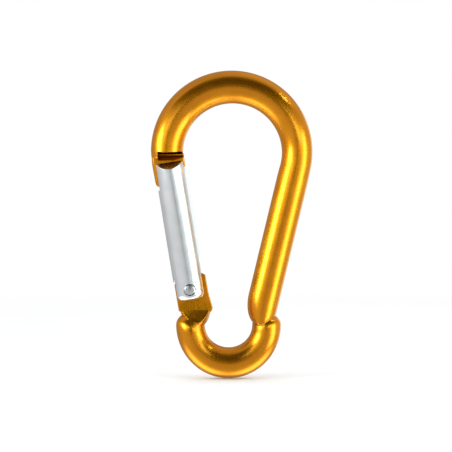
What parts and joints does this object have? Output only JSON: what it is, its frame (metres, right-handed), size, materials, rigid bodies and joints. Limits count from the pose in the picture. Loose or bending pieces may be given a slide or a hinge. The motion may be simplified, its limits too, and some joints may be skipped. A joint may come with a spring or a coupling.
{
  "type": "snap hook",
  "caption": "Pear-shaped round-bar snap hook with a small open eye at one end and a sprung, inward-opening latch along one side.",
  "frame": {"origin": "centre of the whole hook's bounding box, in the middle plane of the bar", "axes": "+Z from the eye to the hook bend, +X from the latch to the back arm, Y across the bar"},
  "size_m": [0.0315, 0.006, 0.06],
  "materials": {
    "anodised_body": "glossy gold anodised over a tumbled surface",
    "polished_latch": "polished, lightly satin along its length",
    "rivet": "peened, slightly rough",
    "plunger": "turned steel",
    "spring": "drawn spring wire"
  },
  "bodies": {
    "body": {"hook_body": "anodised_body"},
    "gate": {"gate": "polished_latch", "pivot_rivet": "rivet", "gate_spring": "spring"},
    "plunger": {"spring_plunger": "plunger"}
  },
  "joints": [
    {"name": "gate_hinge", "type": "hinge", "parent": "body", "child": "gate", "pos_m": [-0.00816, 0, -0.01266], "axis": [0, 1, 0], "range_deg": [0, 40], "stiffness_Nm_per_rad": 0.01, "springref_deg": -28.65},
    {"name": "plunger_slide", "type": "slide", "parent": "gate", "child": "plunger", "axis": [-0.1616, 0, 0.9869], "range_m": [0, 0.0015], "deforming": ["gate_spring"]}
  ],
  "couplings": [
    {"joint": "plunger_slide", "follows": "gate_hinge", "m_per_rad": 0.002}
  ]
}
